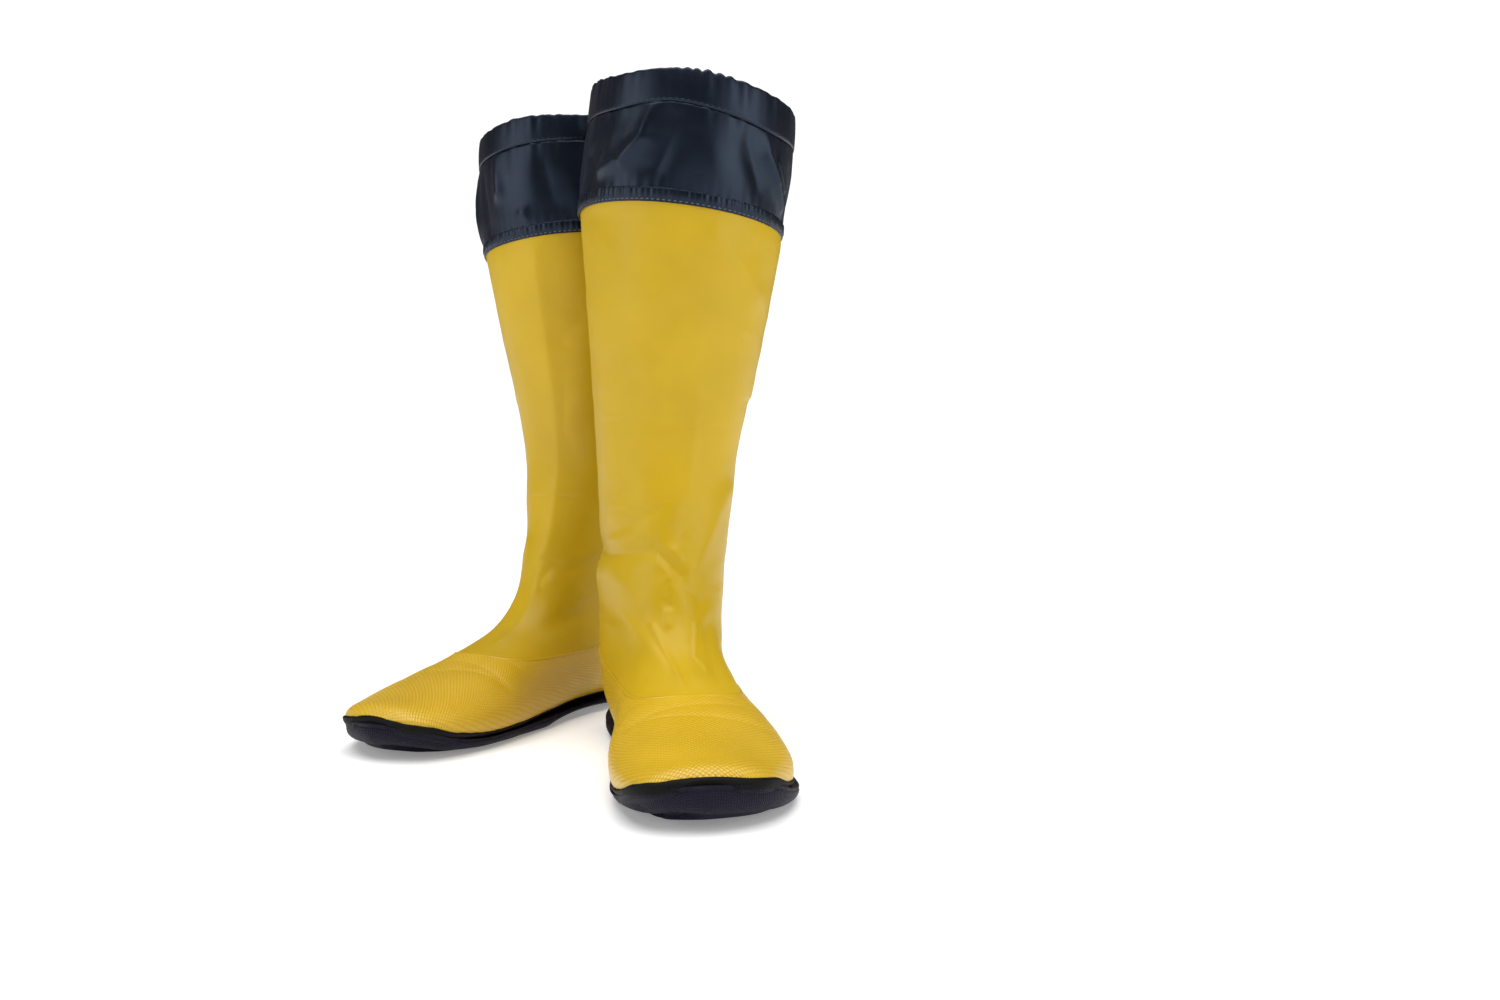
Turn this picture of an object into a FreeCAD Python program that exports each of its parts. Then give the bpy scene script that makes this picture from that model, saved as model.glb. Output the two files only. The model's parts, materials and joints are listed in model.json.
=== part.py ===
"""A pair of tall, soft deck boots with rubber soles and nylon collars.

Each boot is drawn in its own frame: the heel stands at the origin, Y runs to the toe, X to the outer
side of the foot and Z up. Its skin is a row of closed rings that start at the toe, fan round the heel
and climb the leg, so every shell is cut from the same skin. The two boots then stand toes-out on the
floor, with the origin at the middle of the bottom of their common box. All sizes are millimetres.
"""
import FreeCAD, Part
import math
import os

Vector = FreeCAD.Vector

# Places of the two boots: heel point on the floor, angle that the toe turns away from -Y, and how
# far the leg leans outward for each millimetre of height.
RIGHT_BOOT = {"side": 1, "heel": (-84.0, 1001.0), "toe_turn": -30.7, "lean": 0.0}
LEFT_BOOT = {"side": -1, "heel": (-65.5, 886.0), "toe_turn": 11.2, "lean": 0.048}
LEAN_START = 100.0

# Wall thicknesses and clearances.
UPPER_WALL = 1.5
LINING_GAP = 0.7
LINING_WALL = 0.8
INSOLE_GAP = 0.3
COLLAR_WALL = 0.8
JOINT_GAP = 0.3
STRIP_WALL = 1.4
SEAM_PROUD = 0.9
WELT_PROUD = 1.1
SURFACE_GAP = 0.15

# Rubber sole: outline as (distance from the heel, inner edge, outer edge) and side profile.
SOLE_OUTLINE = [(4, 15, 15), (14, 25, 25), (34, 32, 32), (60, 33, 34), (100, 32, 38), (130, 35, 43),
                (165, 43, 50), (190, 48, 52), (215, 49, 50), (240, 45, 40), (256, 37, 27), (266, 24, 10)]
SOLE_HEEL = (0.0, 0.0)
SOLE_TOE = (270.0, -7.0)
SOLE_PROFILE = [(0.0, 8.0), (1.6, 4.6), (4.6, 1.8), (9.0, 0.4), (14.0, 0.0), (22.0, 0.0), (30.0, 0.0),
                (38.0, 0.0)]
TOE_SPRING_START = 205.0
TOE_SPRING = 12.0
ARCH = (48.0, 148.0)
ARCH_LIFT = 4.0
INSOLE_TOP = 13.0
STRIP_BOTTOM = 5.5

# Heights of the rubber's two wavy edges, as (distance from the heel, inner side, outer side).
SOLE_EDGE = [(-30, 17, 17), (10, 15, 15), (60, 8, 9), (110, 7, 8), (165, 7, 8), (195, 7.5, 7.5),
             (218, 9, 8.5), (240, 14, 13), (257, 21, 21), (270, 25, 25), (290, 28, 28)]
STRIP_EDGE = [(-30, 20, 20), (10, 18, 18), (60, 13, 13), (110, 11.5, 12), (165, 10.5, 11),
              (195, 10.5, 10), (218, 12, 11), (240, 17, 16), (257, 24, 24), (270, 28, 28),
              (290, 31, 31)]

# Side view of the seam between the foot part and the leg, as (distance from the heel, height).
FOOT_SEAM = [(-30, 66), (5, 60), (55, 48), (100, 43.5), (135, 43), (160, 44.5), (176, 49), (188, 60),
             (196, 90)]
SEAM_WIDTH = 2.6

# Rings of the skin: front point (y, z), back point (y, z), half widths inner and outer, how square
# the ring is above and below its widest place, where that is, its shift in X, and how much lower
# its outer side is than its middle.
RINGS = {
    "toe_tip": (265, 26, 264, 18, 14, 14, 2.0, 2.0, 0.50, -6, 0),
    "toe_cap": (257, 30, 258, 12.5, 29, 28, 2.1, 2.4, 0.45, -6, 0),
    "toe_box": (240, 33, 241, 7.5, 38, 38, 2.2, 2.8, 0.40, -4, 0),
    "toe_root": (214, 37, 216, 4, 44, 46, 2.2, 3.0, 0.38, -1, 0),
    "ball": (182, 45, 184, 4, 44, 47, 2.2, 3.2, 0.35, 0, 0),
    "waist": (156, 54, 142, 6, 38, 42, 2.1, 3.0, 0.33, 0, 0),
    "instep": (136, 64, 100, 8, 34, 38, 2.1, 2.8, 0.33, 0, 0),
    "throat": (122, 82, 48, 6, 34, 35, 2.1, 2.5, 0.34, 0, 0),
    "heel_turn": (115, 103, 9, 12, 36, 36, 2.1, 2.3, 0.38, 0, 0),
    "heel": (108, 124, 3, 48, 37, 37, 2.1, 2.2, 0.42, 0, 0),
    "ankle": (104, 149, 4, 97, 38, 38, 2.1, 2.1, 0.48, 0, 0),
    "calf_low": (103, 175, 2, 153, 42, 42, 2.1, 2.1, 0.50, 0, 1),
    "calf": (111, 214, -1, 210, 48, 48, 2.1, 2.1, 0.50, 0, 3),
    "calf_high": (125, 266, -2, 263, 55, 55, 2.1, 2.1, 0.50, 0, 5),
    "shaft_top": (136, 319, -2, 314, 61, 61, 2.1, 2.1, 0.50, 0, 8),
    "collar_mid": (139, 354, -3, 353, 61, 64, 2.1, 2.1, 0.50, 0, 11),
    "rim": (138, 389, -3, 390, 57, 66, 2.1, 2.1, 0.50, 0, 14),
}
RING_NAMES = list(RINGS)
RING_POINTS = 20
LAST_RING = len(RING_NAMES) - 1

# Places on the skin where the leg's pieces meet, and how far the welt reaches, counted in rings.
ANKLE_TOP = RING_NAMES.index("ankle")
SHAFT_TOP = RING_NAMES.index("shaft_top")
LINING_TOP = SHAFT_TOP - 0.05
HEM_BOTTOM = LAST_RING - 0.50
WELT_BELOW = 0.03
WELT_ABOVE = 0.12
BACK_SEAM_WIDTH = 12.0


def catmull_rom(before, first, second, after, share):
    """One number between first and second, on a smooth curve through all four."""
    linear = (second - before) * share
    square = (2 * before - 5 * first + 4 * second - after) * share ** 2
    cube = (3 * first - before - 3 * second + after) * share ** 3
    return first + 0.5 * (linear + square + cube)


def ring_at(place):
    """The skin's ring at a place counted in rings from the toe tip."""
    index = min(max(int(math.floor(place)), 0), LAST_RING - 1)
    share = place - index
    rows = [RINGS[RING_NAMES[min(max(index + step, 0), LAST_RING)]] for step in (-1, 0, 1, 2)]
    return [catmull_rom(*values, share) for values in zip(*rows)]


def ring_wire(boot, place, grow):
    """A closed smooth wire round the skin, grown outward, or inward where grow is negative."""
    values = ring_at(place)
    front_y, front_z, back_y, back_z, inner, outer, square_up, square_down, widest, shift, drop = values
    tip_move = grow * max(0.0, 1.0 - place)
    length = math.hypot(front_y - back_y, front_z - back_z)
    along_y = (front_y - back_y) / length
    along_z = (front_z - back_z) / length
    middle_y = back_y + (front_y - back_y) * widest + tip_move
    middle_z = back_z + (front_z - back_z) * widest
    lean = boot["lean"] * max(0.0, middle_z - LEAN_START)
    points = []
    for step in range(RING_POINTS):
        angle = 2 * math.pi * step / RING_POINTS
        forward = math.cos(angle)
        sideways = math.sin(angle)
        square = square_up if forward >= 0 else square_down
        reach = length * (1 - widest) if forward >= 0 else length * widest
        half = outer if sideways >= 0 else inner
        ahead = math.copysign(abs(forward) ** (2 / square), forward) * (reach + grow)
        aside = math.copysign(abs(sideways) ** (2 / square), sideways) * (half + grow)
        height = middle_z + along_z * ahead - drop * aside / outer
        points.append(Vector(boot["side"] * (aside + shift + lean), middle_y + along_y * ahead, height))
    curve = Part.BSplineCurve()
    curve.interpolate(Points=points, PeriodicFlag=True)
    return Part.Wire([curve.toShape()])


def skin(boot, first, last, grow, steps_per_ring=2):
    """A solid of the skin between two places, closed by a flat face at each end.

    Its sections stand at whole steps, so that skins of different lengths run level with each other.
    """
    steps = range(int(first * steps_per_ring), int(last * steps_per_ring) + 1)
    inside = [step / steps_per_ring for step in steps]
    clear = 0.3 / steps_per_ring
    places = [first] + [place for place in inside if first + clear < place < last - clear] + [last]
    return Part.makeLoft([ring_wire(boot, place, grow) for place in places], True, False)


def shell(boot, first, last, outer_grow, inner_grow, steps_per_ring=2):
    """A tube of wall between two grown skins, open at both ends."""
    past = 0.05
    outer = skin(boot, first, last, outer_grow, steps_per_ring)
    inner = skin(boot, first - past, last + past, inner_grow, steps_per_ring)
    return outer.cut(inner)


def above_edge(boot, edge, lift=0.0):
    """Everything above a wavy edge that is given for the inner and the outer side."""
    half_width = 90.0
    curves = []
    for column, side in ((1, -1), (2, 1)):
        points = [Vector(boot["side"] * side * half_width, row[0], row[column] + lift) for row in edge]
        curve = Part.BSplineCurve()
        curve.interpolate(Points=points)
        curves.append(curve.toShape())
    return Part.makeRuledSurface(curves[0], curves[1]).extrude(Vector(0, 0, 200))


def below_foot_seam(drop):
    """Everything under the foot's seam, or under a line that far below it."""
    half_width = 90.0
    floor = -40.0
    points = [Vector(-half_width, y + drop * 0.7, z - drop) for y, z in FOOT_SEAM]
    curve = Part.BSplineCurve()
    curve.interpolate(Points=points)
    start = points[0]
    end = points[-1]
    corners = [end, Vector(-half_width, 330, end.z), Vector(-half_width, 330, floor),
               Vector(-half_width, start.y, floor), start]
    edges = [curve.toShape()]
    for first, second in zip(corners, corners[1:]):
        edges.append(Part.makeLine(first, second))
    return Part.Face(Part.Wire(edges)).extrude(Vector(2 * half_width, 0, 0))


def sole_outline(boot, height, inset):
    """The sole's closed outline at one height, drawn in from its widest."""
    side = boot["side"]
    heel = Vector(side * SOLE_HEEL[1], SOLE_HEEL[0] + inset, height)
    toe = Vector(side * SOLE_TOE[1], SOLE_TOE[0] - inset, height)
    outer = [Vector(side * (right - inset), y, height) for y, left, right in SOLE_OUTLINE]
    inner = [Vector(side * (inset - left), y, height) for y, left, right in SOLE_OUTLINE]
    curve = Part.BSplineCurve()
    curve.interpolate(Points=[heel] + outer + [toe] + inner[::-1], PeriodicFlag=True)
    return Part.Wire([curve.toShape()])


def toe_spring_wedge():
    """The space under the toe, where the sole curves up from the floor."""
    half_width = 80.0
    end = SOLE_TOE[0] + 10
    rise = TOE_SPRING * (end - TOE_SPRING_START) ** 2 / (SOLE_TOE[0] - TOE_SPRING_START) ** 2
    low = Vector(-half_width, TOE_SPRING_START, 0)
    middle = Vector(-half_width, (TOE_SPRING_START + end) / 2, rise / 4)
    high = Vector(-half_width, end, rise)
    curve = Part.Arc(low, middle, high).toShape()
    corner = Vector(-half_width, end, -5)
    start = Vector(-half_width, TOE_SPRING_START, -5)
    edges = [curve, Part.makeLine(high, corner), Part.makeLine(corner, start), Part.makeLine(start, low)]
    return Part.Face(Part.Wire(edges)).extrude(Vector(2 * half_width, 0, 0))


def arch_hollow():
    """The shallow hollow under the arch, between the heel and the ball of the foot."""
    half_width = 80.0
    back, front = ARCH
    points = [Vector(-half_width, back, 0), Vector(-half_width, (back + front) / 2, ARCH_LIFT),
              Vector(-half_width, front, 0)]
    edges = [Part.Arc(*points).toShape(), Part.makeLine(points[2], points[0])]
    return Part.Face(Part.Wire(edges)).extrude(Vector(2 * half_width, 0, 0))


def make_outsole(boot, foot_with_strip):
    """Cup sole of rubber: a plate under the foot with a wall that wraps up round it."""
    outlines = [sole_outline(boot, height, inset) for height, inset in SOLE_PROFILE]
    body = Part.makeLoft(outlines, True, False)
    body = body.cut(toe_spring_wedge()).cut(arch_hollow())
    body = body.cut(above_edge(boot, SOLE_EDGE))
    return body.cut(foot_with_strip)


def make_edge_strip(boot, foot, foot_with_strip):
    """Thin band of rubber between the sole's edge and the foot part."""
    low_box = Part.makeBox(200, 340, 40, Vector(-100, -30, STRIP_BOTTOM - 40))
    return foot_with_strip.cut(foot).cut(above_edge(boot, STRIP_EDGE)).cut(low_box)


def make_foot_parts(boot):
    """The sole, the foot part and what lies inside it."""
    top = RING_NAMES.index("ankle")
    foot = skin(boot, 0, top, 0.0)
    foot_with_strip = skin(boot, 0, top, STRIP_WALL)
    inside = skin(boot, 0, LINING_TOP, -UPPER_WALL)
    lining_outside = -UPPER_WALL - LINING_GAP
    insole_outside = lining_outside - LINING_WALL - INSOLE_GAP
    under_seam = below_foot_seam(0.0)
    under_seam_low = below_foot_seam(SEAM_WIDTH)
    seam_band = shell(boot, RING_NAMES.index("ball") - 0.5, top, SEAM_PROUD, SURFACE_GAP)
    insole_box = Part.makeBox(200, 340, INSOLE_TOP + 20, Vector(-100, -30, -20))
    foot_wall = foot.cut(inside)
    return {
        "outsole": make_outsole(boot, foot_with_strip),
        "edge_strip": make_edge_strip(boot, foot, foot_with_strip),
        "foot_upper": foot_wall.common(under_seam),
        "foot_seam": seam_band.common(under_seam.cut(under_seam_low)),
        "insole": skin(boot, 0, top, insole_outside).common(insole_box),
        "ankle": foot_wall.cut(below_foot_seam(-JOINT_GAP)),
    }


def make_lining(boot):
    """Thin sock lining from the toe up to the top of the leg."""
    outside = -UPPER_WALL - LINING_GAP
    outer = skin(boot, 0, LINING_TOP, outside)
    inner = skin(boot, 0, LINING_TOP + 0.05, outside - LINING_WALL)
    return outer.cut(inner)


def back_seam_section(boot, place):
    """The back strip's four-sided section, which follows the skin's ring."""
    values = ring_at(place)
    front_y, front_z, back_y, back_z, inner, outer, square_up, square_down, widest, shift, drop = values
    length = math.hypot(front_y - back_y, front_z - back_z)
    along_y = (front_y - back_y) / length
    along_z = (front_z - back_z) / length
    lean = boot["lean"] * max(0.0, back_z + (front_z - back_z) * widest - LEAN_START)
    rows = []
    for grow in (SURFACE_GAP, SEAM_PROUD):
        row = []
        for step in (-2, -1, 0, 1, 2):
            aside = BACK_SEAM_WIDTH / 4 * step
            share = abs(aside) / (outer + grow)
            behind = (length * widest + grow) * (1 - share ** square_down) ** (1 / square_down)
            ahead = length * widest - behind
            height = back_z + along_z * ahead - drop * aside / outer
            row.append(Vector(boot["side"] * (aside + shift + lean), back_y + along_y * ahead, height))
        rows.append(row)
    under, over = rows
    edges = []
    for points in (under, over[::-1]):
        curve = Part.BSplineCurve()
        curve.interpolate(Points=points)
        edges.append(curve.toShape())
    edges.insert(1, Part.makeLine(under[-1], over[-1]))
    edges.append(Part.makeLine(over[0], under[0]))
    return Part.Wire(edges)


def make_back_seam(boot, shaft_bottom):
    """Flat strip that covers the leg's closing seam, up the middle of its back."""
    first = shaft_bottom + 0.1
    last = SHAFT_TOP - 0.15
    steps = 8
    places = [first + (last - first) * step / steps for step in range(steps + 1)]
    return Part.makeLoft([back_seam_section(boot, place) for place in places], True, False)


def make_leg_parts(boot):
    """The leg, its collar of thin cloth, and the hem with the elastic in it."""
    shaft_bottom = ANKLE_TOP + 0.02
    shaft_skin = shell(boot, shaft_bottom, SHAFT_TOP, 0.0, -UPPER_WALL)
    hem_tunnel = shell(boot, HEM_BOTTOM + 0.06, LAST_RING - 0.06, 0.9, -1.7, 4)
    return {
        "shaft": shaft_skin,
        "back_seam": make_back_seam(boot, shaft_bottom),
        "welt": shell(boot, SHAFT_TOP - WELT_BELOW, SHAFT_TOP + WELT_ABOVE, WELT_PROUD, SURFACE_GAP, 20),
        "collar": shell(boot, SHAFT_TOP + 0.01, HEM_BOTTOM - 0.01, 0.0, -COLLAR_WALL),
        "hem": shell(boot, HEM_BOTTOM, LAST_RING, 1.5, -2.3, 4).cut(hem_tunnel),
        "elastic": shell(boot, HEM_BOTTOM + 0.12, LAST_RING - 0.12, 0.4, -1.2, 4),
    }


def place_boot(boot, shape):
    """Turn a boot's piece to its toe direction and carry it to its heel point."""
    turn = FreeCAD.Rotation(Vector(0, 0, 1), 180.0 + boot["toe_turn"])
    heel_x, heel_y = boot["heel"]
    shape.Placement = FreeCAD.Placement(Vector(heel_x, heel_y, 0), turn).multiply(shape.Placement)
    return shape


def make_pair():
    """Every piece of both boots, by name."""
    pieces = {}
    for name, boot in (("right", RIGHT_BOOT), ("left", LEFT_BOOT)):
        parts = make_foot_parts(boot)
        parts["lining"] = make_lining(boot)
        parts.update(make_leg_parts(boot))
        for part, shape in parts.items():
            pieces[name + "_" + part] = place_boot(boot, shape)
    return pieces


def main():
    os.makedirs("parts", exist_ok=True)
    pieces = make_pair()
    box = Part.makeCompound(list(pieces.values())).optimalBoundingBox(False)
    origin = Vector((box.XMin + box.XMax) / 2, (box.YMin + box.YMax) / 2, box.ZMin)
    print("origin at", [round(value, 3) for value in origin])
    print("size", round(box.XLength, 1), round(box.YLength, 1), round(box.ZLength, 1))
    for name, shape in pieces.items():
        shape.translate(origin.negative())
        print(name, "solids", len(shape.Solids), "volume", round(shape.Volume), shape.isValid())
        shape.exportStep("parts/" + name + ".step")


main()
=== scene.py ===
"""The looks of a pair of tall, soft deck boots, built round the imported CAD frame.

Each boot is drawn in its own frame, as in its CAD source: the heel at the origin, Y to the toe, X to
the outer side of the foot, Z up, in millimetres. A point of its skin has a place, counted in rings
from the toe tip round the heel and up the leg, and an angle round the ring from the front, positive
towards the outer side. Blender gets metres in the frame's own axes.
"""

import json
import math

import bmesh
import bpy
import numpy as np
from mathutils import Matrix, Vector
from mathutils.bvhtree import BVHTree


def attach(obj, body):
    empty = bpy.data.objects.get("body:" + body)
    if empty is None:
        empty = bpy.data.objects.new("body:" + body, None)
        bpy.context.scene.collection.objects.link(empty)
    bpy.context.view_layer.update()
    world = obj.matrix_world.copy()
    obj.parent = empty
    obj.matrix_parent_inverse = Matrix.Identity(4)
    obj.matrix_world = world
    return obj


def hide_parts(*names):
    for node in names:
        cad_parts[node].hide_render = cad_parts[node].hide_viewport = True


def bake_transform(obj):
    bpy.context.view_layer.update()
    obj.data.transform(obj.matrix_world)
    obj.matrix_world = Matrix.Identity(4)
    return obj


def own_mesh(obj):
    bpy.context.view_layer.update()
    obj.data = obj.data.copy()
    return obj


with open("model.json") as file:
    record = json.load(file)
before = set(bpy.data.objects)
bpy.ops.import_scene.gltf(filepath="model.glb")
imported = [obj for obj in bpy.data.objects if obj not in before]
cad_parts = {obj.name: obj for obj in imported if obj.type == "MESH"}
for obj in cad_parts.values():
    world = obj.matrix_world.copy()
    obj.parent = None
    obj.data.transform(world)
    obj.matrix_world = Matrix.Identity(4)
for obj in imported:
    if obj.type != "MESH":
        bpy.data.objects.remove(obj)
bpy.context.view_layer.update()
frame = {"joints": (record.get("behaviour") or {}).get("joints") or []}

MM = 0.001
FLEX_FROM_HEEL = 55.0

# Rings of the skin: front point (y, z), back point (y, z), half widths inner and outer, how square
# the ring is above and below its widest place, where that is, its shift in X, and how much lower
# its outer side is than its middle.
RINGS = {
    "toe_tip": (266, 26, 265, 18, 15, 15, 2.0, 2.0, 0.50, -6, 0),
    "toe_cap": (260, 31, 260, 13.5, 28, 29, 2.1, 2.4, 0.45, -6, 0),
    "toe_box": (240, 33, 241, 8.5, 38, 40, 2.2, 2.8, 0.40, -4, 0),
    "toe_root": (214, 37, 216, 4, 44, 47.5, 2.2, 3.0, 0.38, -1, 0),
    "ball": (182, 45, 184, 4, 44, 47, 2.2, 3.2, 0.35, 0, 0),
    "waist": (156, 54, 142, 6, 38, 42, 2.1, 3.0, 0.33, 0, 0),
    "instep": (136, 64, 100, 8, 34, 38, 2.1, 2.8, 0.33, 0, 0),
    "throat": (122, 82, 48, 6, 34, 35, 2.1, 2.5, 0.34, 0, 0),
    "heel_turn": (115, 103, 9, 12, 36, 36, 2.1, 2.3, 0.38, 0, 0),
    "heel": (108, 124, 3, 48, 37, 37, 2.1, 2.2, 0.42, 0, 0),
    "ankle": (104, 149, 4, 97, 38, 38, 2.1, 2.1, 0.48, 0, 0),
    "calf_low": (103, 175, 2, 153, 42, 42, 2.1, 2.1, 0.50, 0, 1),
    "calf": (111, 214, -1, 210, 48, 48, 2.1, 2.1, 0.50, 0, 3),
    "calf_high": (125, 266, -2, 263, 55, 55, 2.1, 2.1, 0.50, 0, 5),
    "shaft_top": (136, 319, -2, 314, 61, 61, 2.1, 2.1, 0.50, 0, 8),
    "collar_mid": (139, 354, -3, 353, 61, 64, 2.1, 2.1, 0.50, 0, 11),
    "rim": (138, 389, -3, 390, 57, 66, 2.1, 2.1, 0.50, 0, 14),
}
RING_TABLE = np.array(list(RINGS.values()), float)
RING_NAMES = list(RINGS)
SHAFT_TOP = RING_NAMES.index("shaft_top")
RIM = RING_NAMES.index("rim")
HEM_BOTTOM = RIM - 0.50
COLLAR_SEAM = SHAFT_TOP - 0.07
LEAN_START = 100.0

# The rubber: outline as (distance from the heel, inner edge, outer edge) and its wavy edges.
SOLE_OUTLINE = [(4, 15, 15), (14, 25, 25), (34, 32, 32), (60, 33, 34), (100, 32, 38), (130, 35, 43),
                (165, 43, 50), (190, 48, 52), (215, 49, 50), (240, 45, 40), (256, 37, 27), (266, 24, 10)]
SOLE_HEEL = (0.0, 0.0)
SOLE_TOE = (270.0, -7.0)
SOLE_POINTS = 640
SOLE_EDGE = [(-30, 17, 17), (10, 15, 15), (60, 8, 9), (110, 7, 8), (165, 7, 8), (195, 7.5, 7.5),
             (218, 8.5, 8), (240, 12.5, 11.5), (257, 18.5, 18.5), (270, 22, 22), (290, 25, 25)]
STRIP_EDGE = [(-30, 20, 20), (10, 18, 18), (60, 13, 13), (110, 11.5, 12), (165, 10.5, 11),
              (195, 10.5, 10), (218, 11.5, 10.5), (240, 15.5, 14.5), (257, 21.5, 21.5), (270, 25, 25),
              (290, 28, 28)]
STRIP_WALL = 1.4
SIPE_PITCH = 7.0
SIPE_DEPTH = 1.3
TOE_SPRING_START = 205.0
TOE_SPRING = 8.0
ARCH = (48.0, 148.0)
ARCH_LIFT = 4.0

# How thick the cloths are.
LEG_CLOTH = 1.0
FOOT_CLOTH = 1.1
LINING_CLOTH = 0.7
NYLON_CLOTH = 0.3

# Side view of the seam between the foot part and the leg, as (distance from the heel, height).
FOOT_SEAM = [(-30, 66), (5, 60), (55, 48), (100, 43.5), (135, 43), (160, 44.5), (176, 49), (188, 60),
             (196, 90), (290, 260)]


# ---------------------------------------------------------------- boots and their skin

def named_joint(name):
    """A joint of the frame."""
    return [joint for joint in frame["joints"] if joint["name"] == name][0]


def boot_frame(name, side, lean, toe_lift, undercut):
    """Where a boot stands, read from its ankle joint, and how its own leg and toe are shaped.

    lean is the leg's outward lean per millimetre of height, toe_lift how much higher the rubber's
    edges are at the toe, and undercut how far the sole draws in below its edge at the big toe.
    """
    joint = named_joint(name + "_ankle_flex")
    toe = np.array([joint["axis"][1], -joint["axis"][0]])
    heel = np.array(joint["pos_m"][:2]) / MM - toe * FLEX_FROM_HEEL
    return {"name": name, "side": side, "lean": lean, "toe_lift": toe_lift, "undercut": undercut,
            "toe": toe, "heel": heel, "outer": side * np.array([toe[1], -toe[0]])}


BOOTS = [boot_frame("right", 1, 0.0, 0.0, 3.6), boot_frame("left", -1, 0.048, 2.0, 5.0)]


def to_world(boot, local):
    """Boot millimetres to frame metres."""
    flat = boot["heel"] + local[..., 0:1] * boot["outer"] + local[..., 1:2] * boot["toe"]
    return np.concatenate([flat, local[..., 2:3]], axis=-1) * MM


def catmull_rom(rows, share):
    """Values between the middle two of four rows."""
    before, first, second, after = rows
    share = share[..., None]
    linear = (second - before) * share
    square = (2 * before - 5 * first + 4 * second - after) * share ** 2
    cube = (3 * first - before - 3 * second + after) * share ** 3
    return first + 0.5 * (linear + square + cube)


def skin(boot, place, angle, grow=0.0):
    """Points of the skin, in boot millimetres, at arrays of places and angles."""
    place, angle = np.broadcast_arrays(np.asarray(place, float), np.asarray(angle, float))
    last = len(RING_TABLE) - 1
    index = np.clip(np.floor(place).astype(int), 0, last - 1)
    rows = [RING_TABLE[np.clip(index + step, 0, last)] for step in (-1, 0, 1, 2)]
    values = catmull_rom(rows, place - index)
    front_y, front_z, back_y, back_z, inner, outer, up, down, widest, shift, drop = np.moveaxis(
        values, -1, 0)
    length = np.hypot(front_y - back_y, front_z - back_z)
    along_y = (front_y - back_y) / length
    along_z = (front_z - back_z) / length
    forward = np.cos(angle)
    sideways = np.sin(angle)
    square = np.where(forward >= 0, up, down)
    reach = np.where(forward >= 0, length * (1 - widest), length * widest) + grow
    half = np.where(sideways >= 0, outer, inner) + grow
    ahead = np.sign(forward) * np.abs(forward) ** (2 / square) * reach
    aside = np.sign(sideways) * np.abs(sideways) ** (2 / square) * half
    middle_z = back_z + (front_z - back_z) * widest
    tip_move = grow * np.clip(1.0 - place, 0, None)
    lean = boot["lean"] * np.clip(middle_z - LEAN_START, 0, None)
    x = aside + shift + lean
    y = back_y + (front_y - back_y) * widest + tip_move + along_y * ahead
    z = middle_z + along_z * ahead - drop * aside / outer
    return np.stack([x, y, z], axis=-1)


def curve_through(points, at):
    """A smooth curve through (x, value) points, read at an array of x."""
    points = np.array(points, float)
    x, values = points[:, 0], points[:, 1:]
    index = np.clip(np.searchsorted(x, at) - 1, 0, len(x) - 2)
    share = (np.clip(at, x[0], x[-1]) - x[index]) / (x[index + 1] - x[index])
    slopes = np.gradient(values, x, axis=0)
    step = (x[index + 1] - x[index])[..., None]
    t = share[..., None]
    return ((1 + 2 * t) * (1 - t) ** 2 * values[index] + t * (1 - t) ** 2 * step * slopes[index]
            + t * t * (3 - 2 * t) * values[index + 1] + t * t * (t - 1) * step * slopes[index + 1])


def edge_height(boot, edge, x, y):
    """Height of a wavy rubber edge beside a point of the foot."""
    both = curve_through(edge, y)
    share = np.clip(x / 180.0 + 0.5, 0, 1)
    lift = boot["toe_lift"] * np.clip((y - TOE_SPRING_START) / 40, 0, 1)
    return both[..., 0] * (1 - share) + both[..., 1] * share + lift


def seam_place(boot, angles):
    """At each angle, the place where the skin crosses the foot's seam."""
    places = np.linspace(3.0, 11.0, 801)
    points = skin(boot, places[:, None], angles[None, :])
    above = points[..., 2] - curve_through(FOOT_SEAM, points[..., 1])[..., 0]
    first = np.argmax(above > 0, axis=0)
    low = above[first - 1, np.arange(len(angles))]
    high = above[first, np.arange(len(angles))]
    return places[first - 1] + (places[1] - places[0]) * low / (low - high)


# ---------------------------------------------------------------- mesh helpers

def distances(points):
    """Distances along a closed row of points, from its first and back to it."""
    steps = np.linalg.norm(np.roll(points, -1, axis=0) - points, axis=1)
    return np.concatenate([[0], np.cumsum(steps)])


def smooth_noise(seed, *coordinates):
    """Soft repeatable noise of about -1 to 1 from a few sines."""
    draws = np.random.RandomState(seed)
    total = 0.0
    for _ in range(5):
        phase = draws.uniform(0, 2 * math.pi)
        for coordinate in coordinates:
            phase = phase + coordinate * draws.uniform(-1.6, 1.6)
        total = total + np.sin(phase)
    return total / 3.0


def bell(value, centre, width):
    """A smooth bump of height 1."""
    return np.exp(-((value - centre) / width) ** 2)


def turn_from(angle, centre):
    """Signed turn from a centre angle, in radians."""
    return (angle - centre + math.pi) % (2 * math.pi) - math.pi


def all_round(count):
    """Evenly spaced angles once round a ring, from its back."""
    return np.linspace(-math.pi, math.pi, count, endpoint=False)


def normals_of(points):
    """Outward unit normals of a grid with rows up the boot and columns round it."""
    around = np.roll(points, -1, axis=1) - np.roll(points, 1, axis=1)
    up = np.gradient(points, axis=0)
    normal = np.cross(up, around)
    return normal / np.maximum(np.linalg.norm(normal, axis=-1, keepdims=True), 1e-9)


def grid_faces(rows, columns, rows_close=False):
    """Quads of a grid that is closed round its columns, and over its rows too if rows_close."""
    faces = []
    for row in range(rows if rows_close else rows - 1):
        low = row * columns
        high = (row + 1) % rows * columns
        for column in range(columns):
            after = (column + 1) % columns
            faces.append((low + column, low + after, high + after, high + column))
    return faces


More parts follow.
